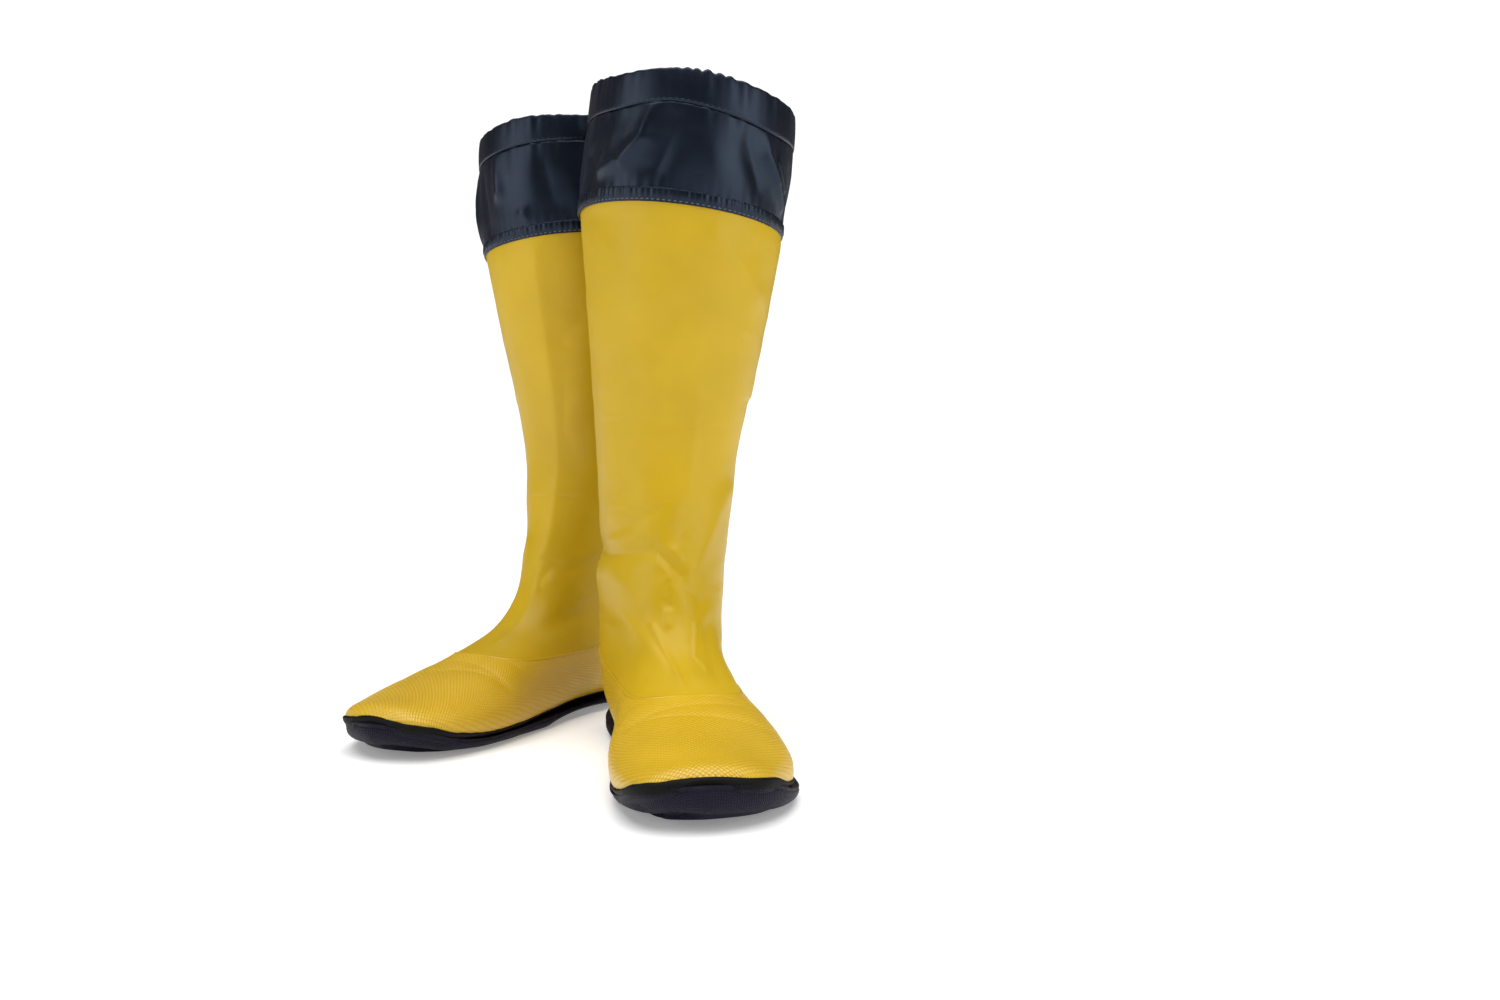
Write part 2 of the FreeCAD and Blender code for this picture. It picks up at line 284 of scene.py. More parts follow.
def bar_faces(rows, columns):
    """Faces of a bar whose rows run along it: its sides, then its two ends."""
    first = tuple(range(columns))
    last = tuple((rows - 1) * columns + column for column in first)
    return grid_faces(rows, columns) + [first[::-1], last]


def new_object(name, vertices, faces, material=None):
    """A smooth-shaded mesh object."""
    mesh = bpy.data.meshes.new(name)
    mesh.from_pydata([tuple(v) for v in vertices], [], faces)
    mesh.polygons.foreach_set("use_smooth", [True] * len(mesh.polygons))
    mesh.update()
    made = bpy.data.objects.new(name, mesh)
    bpy.context.scene.collection.objects.link(made)
    if material:
        mesh.materials.append(material)
    return made


def face_outward(made):
    """Consistent normals that point out of a closed mesh."""
    work = bmesh.new()
    work.from_mesh(made.data)
    bmesh.ops.recalc_face_normals(work, faces=work.faces)
    work.to_mesh(made.data)
    work.free()


def loop_grid(name, boot, rings, material, uv=None):
    """A closed doughnut-like mesh: rings is a grid whose rows and columns both close."""
    rows, columns = rings.shape[:2]
    world = to_world(boot, rings).reshape(-1, 3)
    made = new_object(name, world, grid_faces(rows, columns, rows_close=True), material)
    if uv is not None:
        add_uv(made, uv, rows, columns)
    face_outward(made)
    return made


def add_uv(made, uv, rows, columns):
    """Surface coordinates in metres; uv has one more row and column than the closed grid."""
    layer = made.data.uv_layers.new(name="surface")
    values = np.empty((rows * columns, 4, 2))
    flat = uv.reshape(rows + 1, columns + 1, 2)
    values[:, 0] = flat[:-1, :-1].reshape(-1, 2)
    values[:, 1] = flat[:-1, 1:].reshape(-1, 2)
    values[:, 2] = flat[1:, 1:].reshape(-1, 2)
    values[:, 3] = flat[1:, :-1].reshape(-1, 2)
    layer.data.foreach_set("uv", values.ravel())


def surface_uv(points):
    """Distances up and round a grid, for each point and one column more, in metres."""
    around = np.linalg.norm(np.roll(points, -1, axis=1) - points, axis=-1)
    middle = points.shape[1] // 2
    u = np.concatenate([np.zeros((len(points), 1)), np.cumsum(around, axis=1)], axis=1)
    u = u - u[:, middle:middle + 1]
    steps = np.linalg.norm(np.diff(points, axis=0), axis=-1)
    v = np.concatenate([np.zeros((1, points.shape[1])), np.cumsum(steps, axis=0)], axis=0)
    v = np.concatenate([v, v[:, :1]], axis=1)
    return np.stack([u, v], axis=-1) * MM


def wall(name, boot, outer, inner, material):
    """A closed shell between an outer and an inner grid of boot points."""
    rings = np.concatenate([outer, inner[::-1]], axis=0)
    uv = surface_uv(outer)
    back = surface_uv(inner)[::-1]
    uv = np.concatenate([uv, back, uv[:1]], axis=0)
    return loop_grid(name, boot, rings, material, uv)


def tube(name, boot, rings, material):
    """A closed bar: rows of the grid run along it, its columns close round it, and both ends close."""
    rows, columns = rings.shape[:2]
    made = new_object(name, to_world(boot, rings).reshape(-1, 3), bar_faces(rows, columns), material)
    layer = made.data.uv_layers.new(name="surface")
    uv = surface_uv(rings)
    for polygon in list(made.data.polygons)[:-2]:
        row, column = divmod(polygon.index, columns)
        corners = (uv[row, column], uv[row, column + 1], uv[row + 1, column + 1], uv[row + 1, column])
        for loop, corner in zip(polygon.loop_indices, corners):
            layer.data[loop].uv = corner
    face_outward(made)
    return made


# ---------------------------------------------------------------- materials

def add_node(tree, kind, inputs=None, **settings):
    """A node with its settings, and links or values for its inputs."""
    node = tree.nodes.new(kind)
    for key, value in settings.items():
        setattr(node, key, value)
    for key, value in (inputs or {}).items():
        if isinstance(value, bpy.types.NodeSocket):
            tree.links.new(value, node.inputs[key])
        else:
            node.inputs[key].default_value = value
    return node


def coordinates(tree, kind="Object"):
    """A texture coordinate socket."""
    return add_node(tree, "ShaderNodeTexCoord").outputs[kind]


def noise_value(tree, vector, scale, detail=3.0, roughness=0.5):
    """The value of a noise texture."""
    node = add_node(tree, "ShaderNodeTexNoise",
                    {"Vector": vector, "Scale": scale, "Detail": detail, "Roughness": roughness})
    return node.outputs["Fac"]


def mapped(tree, value, low, high, to_low, to_high):
    """A value brought from one span to another."""
    node = add_node(tree, "ShaderNodeMapRange", {"Value": value, "From Min": low, "From Max": high,
                                                 "To Min": to_low, "To Max": to_high})
    return node.outputs["Result"]


def maths(tree, operation, first, second=0.0):
    """One arithmetic step."""
    return add_node(tree, "ShaderNodeMath", {0: first, 1: second}, operation=operation).outputs[0]


def colour_mix(tree, share, first, second):
    """A colour between two."""
    node = add_node(tree, "ShaderNodeMix", data_type="RGBA")
    for socket, value in ((node.inputs["Factor"], share), (node.inputs[6], first),
                          (node.inputs[7], second)):
        if isinstance(value, bpy.types.NodeSocket):
            tree.links.new(value, socket)
        else:
            socket.default_value = value
    return node.outputs[2]


def bump(tree, height, distance, strength=1.0, normal=None):
    """A bumped normal; distance is the height's span in metres."""
    inputs = {"Height": height, "Distance": distance, "Strength": strength}
    if normal is not None:
        inputs["Normal"] = normal
    return add_node(tree, "ShaderNodeBump", inputs).outputs["Normal"]


def grain(tree, vector, pitch, turn):
    """Soft raised dots and hollows of a slanted square grain: the product of two waves."""
    split = add_node(tree, "ShaderNodeSeparateXYZ", {"Vector": vector})
    along = (math.cos(turn), math.sin(turn))
    waves = []
    for first, second in ((along[0], along[1]), (-along[1], along[0])):
        across = maths(tree, "ADD", maths(tree, "MULTIPLY", split.outputs["X"], first),
                       maths(tree, "MULTIPLY", split.outputs["Y"], second))
        waves.append(maths(tree, "SINE", maths(tree, "MULTIPLY", across, 2 * math.pi / pitch)))
    return maths(tree, "MULTIPLY", waves[0], waves[1])


# Each material: its patches as a noise (scale, detail, and the span between its two colours), the
# colours, its roughness (a span over the same patches, or one value), its fine relief as a noise
# (scale, detail, depth, strength), its regular grain (pitch, turn in degrees, depth, strength), and
# constants of its shader. Lengths are in metres.
MATERIAL_TABLE = {
    # leg: soft coated cloth, nearly smooth, with a faint weave print-through
    "coated_yellow": ((14.0, 3.0, 0.3, 0.7), (0.47, 0.305, 0.003, 1), (0.56, 0.365, 0.006, 1),
                      (0.40, 0.48), (420.0, 2.0, 0.00010, 0.5), (0.0011, 0, 0.00002, 0.6),
                      {"Specular IOR Level": 0.30}),
    # foot: the same cloth, glossier, in a paler yellow that is painted light of its top-lit surfaces; its
    # diamond grain, with painted shade in its grooves, is added by press_diamonds
    "embossed_yellow": ((22.0, 3.0, 0.3, 0.7), (0.60, 0.380, 0.006, 1), (0.68, 0.440, 0.011, 1),
                        (0.30, 0.38), (500.0, 2.0, 0.00008, 0.5), None,
                        {"Specular IOR Level": 0.60}),
    # outsole
    "navy_rubber": ((30.0, 4.0, 0.3, 0.7), (0.0075, 0.0066, 0.0150, 1), (0.0110, 0.0098, 0.0210, 1),
                    (0.42, 0.55), (600.0, 3.0, 0.00008, 0.6), (0.0020, 45, 0.00022, 0.9),
                    {"Specular IOR Level": 0.09}),
    # edge strip
    "black_rubber": ((60.0, 5.0, 0.3, 0.7), (0.0030, 0.0030, 0.0030, 1), (0.0070, 0.0068, 0.0064, 1),
                     (0.5, 0.7), (350.0, 4.0, 0.0002, 0.6), None,
                     {"Specular IOR Level": 0.09}),
    # collar: fine plain weave with a soft sheen
    "navy_nylon": ((35.0, 3.0, 0.3, 0.7), (0.0016, 0.0022, 0.0055, 1), (0.0028, 0.0036, 0.0080, 1),
                   (0.30, 0.37), (260.0, 3.0, 0.0001, 0.5), (0.0009, 0, 0.00003, 0.7),
                   {"Specular IOR Level": 0.42, "Specular Tint": (0.52, 0.70, 1.0, 1),
                    "Sheen Weight": 0.02, "Sheen Roughness": 0.35, "Sheen Tint": (0.55, 0.65, 0.9, 1)}),
    # stitches, dark in the hem and paler where the collar is sewn on
    "thread": ((1500.0, 2.0, 0.0, 1.0), (0.006, 0.007, 0.014, 1), (0.016, 0.019, 0.034, 1),
               0.45, (1500.0, 2.0, 0.0001, 0.8), None, {}),
    "pale_thread": ((1500.0, 2.0, 0.0, 1.0), (0.040, 0.045, 0.070, 1), (0.110, 0.120, 0.160, 1),
                    0.45, (1500.0, 2.0, 0.0001, 0.8), None, {}),
    "knit_lining": ((40.0, 3.0, 0.3, 0.7), (0.085, 0.085, 0.085, 1), (0.13, 0.13, 0.125, 1),
                    0.85, None, (0.0018, 20, 0.0003, 0.8), {"Sheen Weight": 0.3}),
    "footbed_foam": ((50.0, 4.0, 0.0, 1.0), (0.02, 0.02, 0.022, 1), (0.045, 0.045, 0.05, 1),
                     0.9, (900.0, 2.0, 0.0003, 0.8), None, {}),
    "elastic_web": ((800.0, 2.0, 0.0, 1.0), (0.01, 0.01, 0.01, 1), (0.03, 0.03, 0.03, 1),
                    0.8, (800.0, 2.0, 0.0002, 0.8), None, {}),
    "pale_floor": ((3.0, 2.0, 0.0, 1.0), (0.90, 0.90, 0.90, 1), (0.93, 0.93, 0.93, 1), 0.6, None, None,
                   {"Emission Color": (1.0, 1.0, 1.0, 1), "Emission Strength": 0.22}),
}


def make_material(name):
    """A material from its row of the table."""
    patches, dark, pale, rough, fine, regular, constants = MATERIAL_TABLE[name]
    material = bpy.data.materials.new(name)
    material.use_nodes = True
    tree = material.node_tree
    shader = tree.nodes["Principled BSDF"]
    place = coordinates(tree)
    scale, detail, low, high = patches
    broad = noise_value(tree, place, scale, detail)
    colour = colour_mix(tree, mapped(tree, broad, low, high, 0.0, 1.0), dark, pale)
    tree.links.new(colour, shader.inputs["Base Color"])
    if isinstance(rough, tuple):
        tree.links.new(mapped(tree, broad, low, high, *rough), shader.inputs["Roughness"])
    else:
        shader.inputs["Roughness"].default_value = rough
    normal = None
    if fine:
        scale, detail, depth, strength = fine
        normal = bump(tree, noise_value(tree, place, scale, detail), depth, strength)
    if regular:
        pitch, turn, depth, strength = regular
        waves = grain(tree, coordinates(tree, "UV"), pitch, math.radians(turn))
        normal = bump(tree, waves, depth, strength, normal)
    if normal:
        tree.links.new(normal, shader.inputs["Normal"])
    for key, value in constants.items():
        shader.inputs[key].default_value = value
    return material


def press_diamonds(material):
    """Press diamonds into the foot's cloth and paint shade darker into their grooves, both deepest near the
    sole.
    """
    tree = material.node_tree
    shader = tree.nodes["Principled BSDF"]
    colour, normal = [shader.inputs[key].links[0].from_socket for key in ("Base Color", "Normal")]
    waves = grain(tree, coordinates(tree, "UV"), 0.0042, math.radians(45))
    dots = maths(tree, "POWER", maths(tree, "ABSOLUTE", waves), 0.5)
    high = add_node(tree, "ShaderNodeSeparateXYZ", {"Vector": coordinates(tree)}).outputs["Z"]
    pressed = mapped(tree, high, 0.034, 0.054, 1.0, 0.25)
    groove = maths(tree, "MULTIPLY", maths(tree, "SUBTRACT", 1.0, dots), pressed)
    # painted shade: the grooves' colour is mixed up to halfway towards a dark orange-brown, as shade falls
    # between the raised diamonds
    colour = colour_mix(tree, mapped(tree, groove, 0.0, 1.0, 0.0, 0.50), colour, (0.34, 0.17, 0.003, 1))
    tree.links.new(colour, shader.inputs["Base Color"])
    raised = maths(tree, "MULTIPLY", groove, -1.0)
    tree.links.new(bump(tree, raised, 0.00030, 0.9, normal), shader.inputs["Normal"])


MATERIALS = {row: make_material(row) for row in MATERIAL_TABLE}
press_diamonds(MATERIALS["embossed_yellow"])


# ---------------------------------------------------------------- leg

LEG_ROWS = 230
LEG_COLUMNS = 300

# Creases of the front of each leg as (from x, from z, to x, to z, half width, rise): x is counted
# from the leg's middle to its outer side. Ridges rise and valleys sink.
CREASES = {
    "left": [
        (1, 119, 2, 116, 4.5, 1.6), (-12, 121, 4, 105, 3.6, -2.2), (-25, 99, -21, 93, 11.0, 2.4),
        (-44, 113, -14, 119, 5.5, -2.6), (3, 104, 15, 90, 5.0, -1.6), (-5, 85, -5, 79, 2.6, 1.5),
        (-5, 91, -4, 89, 2.2, -1.3), (-4, 101, -4, 90, 2.4, -1.2), (-13, 77, -1, 48, 2.4, 1.4),
        (11, 77, 8, 62, 2.0, 0.9), (8, 62, 13, 57, 2.0, 0.8), (19, 75, 19, 56, 4.5, -1.4),
        (29, 92, 30, 66, 4.5, 1.0), (-34, 70, -31, 62, 7.0, -2.4), (12, 110, 33, 152, 6.0, 2.1),
        (4, 127, 19, 157, 7.0, -1.8), (-42, 124, -14, 140, 4.0, -0.9), (-14, 140, -4, 149, 4.0, -0.9),
        (-27, 82, -10, 60, 5.0, 1.1), (2, 70, 4, 54, 6.0, 0.9), (-20, 112, -8, 106, 5.0, -0.8),
        (12, 298, 40, 268, 8.0, 1.7), (2, 318, 26, 292, 9.0, -1.2), (-9, 254, -22, 238, 8.0, -1.8),
        (-22, 238, -32, 222, 6.0, -0.8), (-25, 195, -2, 193, 10.0, -1.3), (9, 208, 8, 150, 4.0, 0.9),
        (-6, 230, -4, 178, 7.0, -0.9), (-38, 290, -26, 262, 9.0, 1.0), (30, 240, 36, 200, 9.0, 1.0),
    ],
    "right": [
        (-13, 305, -11, 240, 6.0, 1.3), (-11, 240, -8, 170, 6.0, 1.3), (-8, 170, -6, 118, 5.5, 1.2),
        (-6, 118, -4, 84, 5.0, 1.1), (-4, 84, -4, 56, 4.0, 0.8), (-34, 262, -22, 250, 9.0, -1.8),
        (-36, 236, -20, 232, 7.0, -1.0), (-26, 214, -18, 190, 8.0, 0.8), (-6, 104, -20, 96, 4.0, -1.6),
        (-20, 96, -36, 104, 5.0, -1.4), (-12, 88, -26, 78, 6.0, 1.8), (14, 112, 26, 96, 5.0, 1.2),
        (-34, 78, -26, 66, 7.0, -2.0), (-30, 130, -24, 112, 7.0, -1.0), (20, 180, 26, 140, 8.0, 0.8),
    ],
}

# Lines where each leg was folded flat for packing, as (height, tilt, from x, to x, rise).
FOLD_LINES = {
    "left": [(243, 1.0, -22, 4, 0.30), (240, -0.5, -20, 0, 0.25), (250, -4.0, 4, 46, 0.55),
             (194, -1.5, -48, 44, 0.50), (322, 1.0, -30, 20, 0.25), (146, 1.0, -40, 10, 0.30)],
    "right": [(248, 1.5, -50, 30, 0.50), (206, 3.0, -46, -6, 0.60), (147, 0.5, -44, 20, 0.45),
              (278, 0.0, -40, 20, 0.25), (226, -2.0, -46, 0, 0.30)],
}

# Soft buckles beside and behind the ankle: height, angle, half height, half turn, rise.
ANKLE_BUCKLES = [(128, 1.3, 42, 0.55, 2.6), (112, 2.1, 7, 0.45, -2.0), (116, -1.75, 6, 0.4, -2.0),
                 (100, -1.6, 8, 0.5, 1.6), (112, 3.0, 7, 0.7, -2.2), (128, 2.7, 8, 0.6, 1.2),
                 (97, -2.8, 7, 0.6, 1.2), (134, -2.6, 8, 0.5, -1.2)]

# How far the leg's creases may sink at most: below it lies the lining.
DEEPEST_CREASE = -3.4


def segment_ridge(x, z, crease):
    """A ridge or valley along one straight crease, pointed in section and fading at its ends."""
    x0, z0, x1, z1, width, rise = crease
    run_x, run_z = x1 - x0, z1 - z0
    length = max(math.hypot(run_x, run_z), 1e-6)
    share = np.clip(((x - x0) * run_x + (z - z0) * run_z) / length ** 2, 0, 1)
    away = np.hypot(x - x0 - share * run_x, z - z0 - share * run_z) / width
    return rise * np.exp(-away ** 1.6)


def joined_ridges(x, z, creases):
    """All ridges and valleys together; pieces of one line run into each other at the same height."""
    ridges = np.zeros(np.shape(x))
    valleys = np.zeros(np.shape(x))
    for crease in creases:
        rise = segment_ridge(x, z, crease)
        ridges = np.maximum(ridges, rise)
        valleys = np.minimum(valleys, rise)
    return ridges + valleys


def leg_relief(boot, points, angle):
    """How far the leg's cloth stands out from its plain skin, in millimetres."""
    height = points[..., 2]
    lean = boot["lean"] * np.clip(height - LEAN_START, 0, None)
    x = points[..., 0] - lean
    front = np.clip(np.cos(angle) * 4 + 0.6, 0, 1)
    seed = 11 + boot["side"]
    relief = 1.1 * smooth_noise(seed, height / 40.0, np.sin(angle) * 1.8, np.cos(angle) * 1.8)
    relief = relief * np.clip((height - 90.0) / 60.0, 0.25, 1)
    relief = relief + 0.16 * smooth_noise(seed + 40, height / 5.0, x / 7.0, np.cos(angle) * 8)
    relief = relief + front * joined_ridges(x, height, CREASES[boot["name"]])
    for level, tilt, x0, x1, rise in FOLD_LINES[boot["name"]]:
        line = level + tilt * x / 30.0 + 0.8 * np.sin(x / 9.0 + level)
        ends = np.clip((x - x0) / 10.0, 0, 1) * np.clip((x1 - x) / 10.0, 0, 1)
        away = height - line
        fold = np.exp(-np.abs(away) / 0.9) - 0.8 * np.exp(-np.abs(away + 2.5) / 2.5)
        relief = relief + front * ends * rise * fold
    # the outer side steps in a little at mid-leg, and both sides and the back buckle over the ankle
    step = np.clip((height - 206.0) / 4.0, 0, 1) * np.clip((262.0 - height) / 50.0, 0, 1)
    relief = relief + 1.6 * step * bell(turn_from(angle, 1.5), 0.0, 0.55)
    for level, centre, tall, wide, rise in ANKLE_BUCKLES:
        turn = turn_from(angle, centre)
        relief = relief + rise * bell(height, level + 10 * turn, tall) * bell(turn, 0.0, wide)
    return relief


def leg_surface(boot, place, angle):
    """Points and normals of the leg's outside with its creases, at a grid of places and angles."""
    points = skin(boot, place, angle)
    place = np.broadcast_to(place, points.shape[:2])
    angle = np.broadcast_to(angle, points.shape[:2])
    start = seam_place(boot, angle[0])
    share = (place - start) / (SHAFT_TOP - start)
    fade = np.clip(share / 0.06, 0, 1) * np.clip((1 - share) / 0.03, 0, 1)
    relief = np.maximum(leg_relief(boot, points, angle), DEEPEST_CREASE) * fade
    ahead = skin(boot, place, angle + 0.01)
    above = skin(boot, place + 0.01, angle)
    normal = np.cross(above - points, ahead - points)
    normal /= np.linalg.norm(normal, axis=-1, keepdims=True)
    return points + normal * relief[..., None], normal


def make_leg(boot):
    """The leg's cloth from the foot's seam to the collar, in one piece over the ankle."""
    angles = all_round(LEG_COLUMNS)
    share = np.linspace(0, 1, LEG_ROWS)[:, None]
    start = seam_place(boot, angles)[None, :]
    place = start + (SHAFT_TOP + 0.02 - start) * share
    outer, normal = leg_surface(boot, place, angles[None, :])
    piece = wall(boot["name"] + "_leg_cloth", boot, outer, outer - normal * LEG_CLOTH,
                 MATERIALS["coated_yellow"])
    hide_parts(boot["name"] + "_ankle", boot["name"] + "_shaft")
    bend_over_ankle(piece)


def make_back_seam(boot):
    """Flat strip glued over the leg's closing seam, up the middle of its back."""
    place = np.linspace(SHAFT_TOP - 3.85, SHAFT_TOP - 0.12, 150)[:, None]
    half_turn = 0.105
    section = [(-1.0, 0.0), (-1.0, 0.45), (-0.93, 0.8), (-0.75, 0.88), (-0.45, 0.72), (0.0, 0.70),
               (0.45, 0.72), (0.75, 0.88), (0.93, 0.8), (1.0, 0.45), (1.0, 0.0), (0.0, 0.0)]
    across = np.array([math.pi + half_turn * side for side, rise in section])[None, :]
    rise = np.array([rise for side, rise in section])[None, :, None]
    points, normal = leg_surface(boot, place, across)
    piece = tube(boot["name"] + "_back_strip", boot, points + normal * rise,
                 MATERIALS["coated_yellow"])
    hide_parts(boot["name"] + "_back_seam")
    bend_over_ankle(piece)


def bend_over_ankle(piece):
    """Bake a piece's place into its mesh; nothing bends it over the ankle."""
    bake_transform(piece)


def make_lining(boot):
    """Sock lining, from the toe to the collar's seam."""
    angles = all_round(120)
    place = np.linspace(0.3, SHAFT_TOP - 0.03, 110)[:, None]
    clear = 3.2 + 2.2 * np.clip((place - 8.0) / 1.5, 0, 1)
    outer = skin(boot, place, angles[None, :], -clear)
    inner = skin(boot, place, angles[None, :], -clear - LINING_CLOTH)
    piece = wall(boot["name"] + "_sock_lining", boot, outer, inner, MATERIALS["knit_lining"])
    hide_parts(boot["name"] + "_lining")
    bend_over_ankle(piece)


# ---------------------------------------------------------------- foot

def make_foot(boot):
    """The foot's embossed cloth, from the toe to its seam."""
    angles = all_round(220)
    share = np.linspace(0, 1, 170)[:, None]
    end = seam_place(boot, angles)[None, :] + 0.02
    place = end * share
    outer = skin(boot, place, angles[None, :], 0.3)
    # the cloth that the sole hides is tucked in, clear of the rubber
    edge = edge_height(boot, SOLE_EDGE, outer[..., 0], outer[..., 1])
    tucked = np.clip((edge - 1.0 - outer[..., 2]) / 4.0, 0, 1)[..., None]
    outer = outer + tucked * (skin(boot, place, angles[None, :], -2.4) - outer)
    height = outer[..., 2]
    normal = normals_of(outer)
    top = np.clip((height - 26.0) / 10.0, 0, 1)
    relief = 0.5 * top * smooth_noise(31 + boot["side"], outer[..., 0] / 22.0, outer[..., 1] / 26.0)
    # flex creases over the toe joint
    for line, slope, depth in ((196.0, 0.18, -0.7), (184.0, -0.12, -0.5), (172.0, 0.1, -0.4)):
        across = outer[..., 1] - line - slope * outer[..., 0]
        relief += depth * np.exp(-np.abs(across) / 2.6) * top
    outer = outer + normal * (relief * np.clip((1 - share) / 0.05, 0, 1))[..., None]
    inner = outer - normal * FOOT_CLOTH
    piece = wall(boot["name"] + "_foot_cloth", boot, outer, inner, MATERIALS["embossed_yellow"])
    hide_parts(boot["name"] + "_foot_upper")
    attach(piece, boot["name"] + "_foot")


def make_foot_seam(boot):
    """The raised seam bead between the foot part and the leg."""
    angles = all_round(360)
    place = seam_place(boot, angles)
    line = skin(boot, place, angles)
    near = skin(boot, place + 0.05, angles)
    along = np.roll(line, -1, axis=0) - np.roll(line, 1, axis=0)
    along /= np.linalg.norm(along, axis=1, keepdims=True)
    up = near - line
    up -= along * np.sum(up * along, axis=1, keepdims=True)
    up /= np.linalg.norm(up, axis=1, keepdims=True)
    out = np.cross(up, along)
    proud = 0.75 - 0.40 * np.clip(np.cos(angles), 0, 1) ** 2
    rings = []
    for turn in np.linspace(0, 2 * math.pi, 10, endpoint=False):
        lift = proud * (0.2 + 0.8 * math.sin(turn))
        rings.append(line + up * math.cos(turn) + out * lift[:, None])
    # one surface coordinate all over, because the grain isn't pressed into the bead
    piece = loop_grid(boot["name"] + "_foot_seam_bead", boot, np.array(rings), MATERIALS["embossed_yellow"],
                      np.zeros((len(rings) + 1, len(angles) + 1, 2)))
    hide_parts(boot["name"] + "_foot_seam")
    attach(piece, boot["name"] + "_foot")


# ---------------------------------------------------------------- rubber

def sole_line(count):
    """The sole's outline as evenly spaced points with their outward directions, heel first."""
    outer = [(right, y) for y, left, right in SOLE_OUTLINE]
    inner = [(-left, y) for y, left, right in SOLE_OUTLINE][::-1]
    points = np.array([(SOLE_HEEL[1], SOLE_HEEL[0])] + outer + [(SOLE_TOE[1], SOLE_TOE[0])] + inner, float)
    dense = []
    total = len(points)
    for index in range(total):
        rows = [points[(index + step) % total][None, :] for step in (-1, 0, 1, 2)]
        dense.append(catmull_rom(rows, np.linspace(0, 1, 60, endpoint=False)))
    dense = np.concatenate(dense)
    run = distances(dense)
    closed = np.concatenate([dense, dense[:1]])
    even = np.linspace(0, run[-1], count, endpoint=False)
    line = np.stack([np.interp(even, run, closed[:, axis]) for axis in (0, 1)], axis=1)
    along = np.roll(line, -1, axis=0) - np.roll(line, 1, axis=0)
    out = np.stack([along[:, 1], -along[:, 0]], axis=1)
    out /= np.linalg.norm(out, axis=1, keepdims=True)
    if np.mean(np.sum(out * (line - line.mean(axis=0)), axis=1)) < 0:
        out = -out
    return line, out


def sole_spine(line, first, last):
    """The foot's middle line beside each point of the outline, between two distances from the heel."""
    return np.stack([np.interp(line[:, 1], [0, 60, 130, 215, 270], [0, 1, 4, 1, -7]),
                     np.clip(line[:, 1], first, last)], axis=1)


def lifted(flat, height):
    """Level points at a height, which may be one number or one for each."""
    return np.concatenate([flat, np.broadcast_to(height, len(flat))[:, None]], axis=1)


def skin_tree(boot, grow):
    """A search tree of the foot's skin, to find where a level line meets it."""
    rows, columns = 240, 160
    angles = all_round(columns)
    place = np.linspace(0, RING_NAMES.index("calf_low"), rows)[:, None]
    points = skin(boot, place, angles[None, :], grow).reshape(-1, 3)
    tip = skin(boot, 0.0, angles, grow).mean(axis=0)
    faces = grid_faces(rows, columns)
    faces += [(column, (column + 1) % columns, len(points)) for column in range(columns)]
    points = np.concatenate([points, [tip]])
    return BVHTree.FromPolygons([tuple(p) for p in points], faces)


def meet_skin(tree, line, out, height, fallback):
    """Where level lines from outside the outline meet the skin, in boot millimetres."""
    found = []
    for (x, y), (out_x, out_y), z in zip(line, out, height):
        start = Vector((x + out_x * 25, y + out_y * 25, z))
        hit = tree.ray_cast(start, Vector((-out_x, -out_y, 0)), 60.0)[0]
        found.append(tuple(hit) if hit else (x - out_x * fallback, y - out_y * fallback, z))
    return np.array(found)


def sole_bottom(y):
    """Height of the sole's underside: the toe springs up, and the arch is a little hollow."""
    spring = TOE_SPRING * np.clip((y - TOE_SPRING_START) / (SOLE_TOE[0] - TOE_SPRING_START), 0, 1) ** 2
    middle = (ARCH[0] + ARCH[1]) / 2
    arch = ARCH_LIFT * np.clip(1 - ((y - middle) / (middle - ARCH[0])) ** 2, 0, 1)
    return spring + arch


def tread_depth(x, y):
    """Depth of the wavy sipes cut into the sole, in millimetres."""
    wave = y + 2.2 * np.sin(x * 2 * math.pi / 14.0)
    sipe = np.abs((wave / SIPE_PITCH) % 1.0 - 0.5)
    return SIPE_DEPTH * np.clip((0.16 - sipe) / 0.06, 0, 1)


